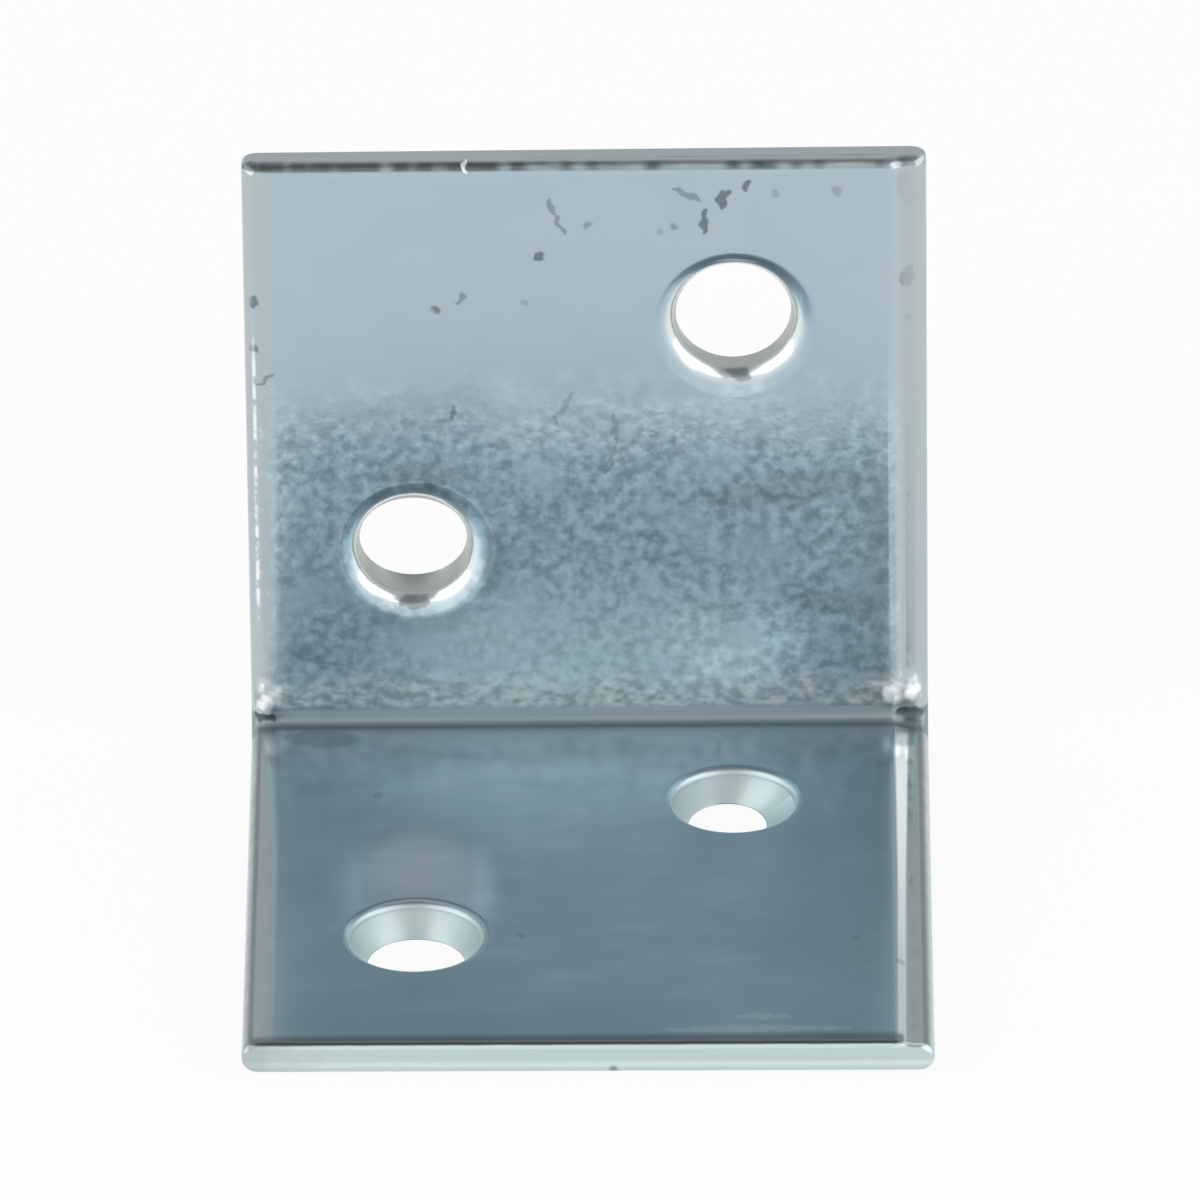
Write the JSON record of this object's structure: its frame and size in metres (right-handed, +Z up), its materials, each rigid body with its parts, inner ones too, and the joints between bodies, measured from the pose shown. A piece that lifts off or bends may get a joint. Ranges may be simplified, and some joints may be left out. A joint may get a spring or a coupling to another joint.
{
  "type": "angle bracket",
  "caption": "Small folded steel angle bracket, with screw holes set on the slant in both legs and rolled rims on their inner side.",
  "frame": {"origin": "Middle of the foot's footprint, on the underside.", "axes": "+Z up along the upright leg, +Y out of the back face, -Y from the fold to the foot's free end, +X along the fold, to the right when the inside of the angle is seen from the front."},
  "size_m": [0.03, 0.0296, 0.0295],
  "materials": {
    "zinc_plated_steel": "Bright zinc plating with a faint blue tint over cold-rolled steel sheet, glossy, with fine pits and dull spots."
  },
  "bodies": {
    "root": {"angle_bracket": "zinc_plated_steel"}
  },
  "joints": []
}
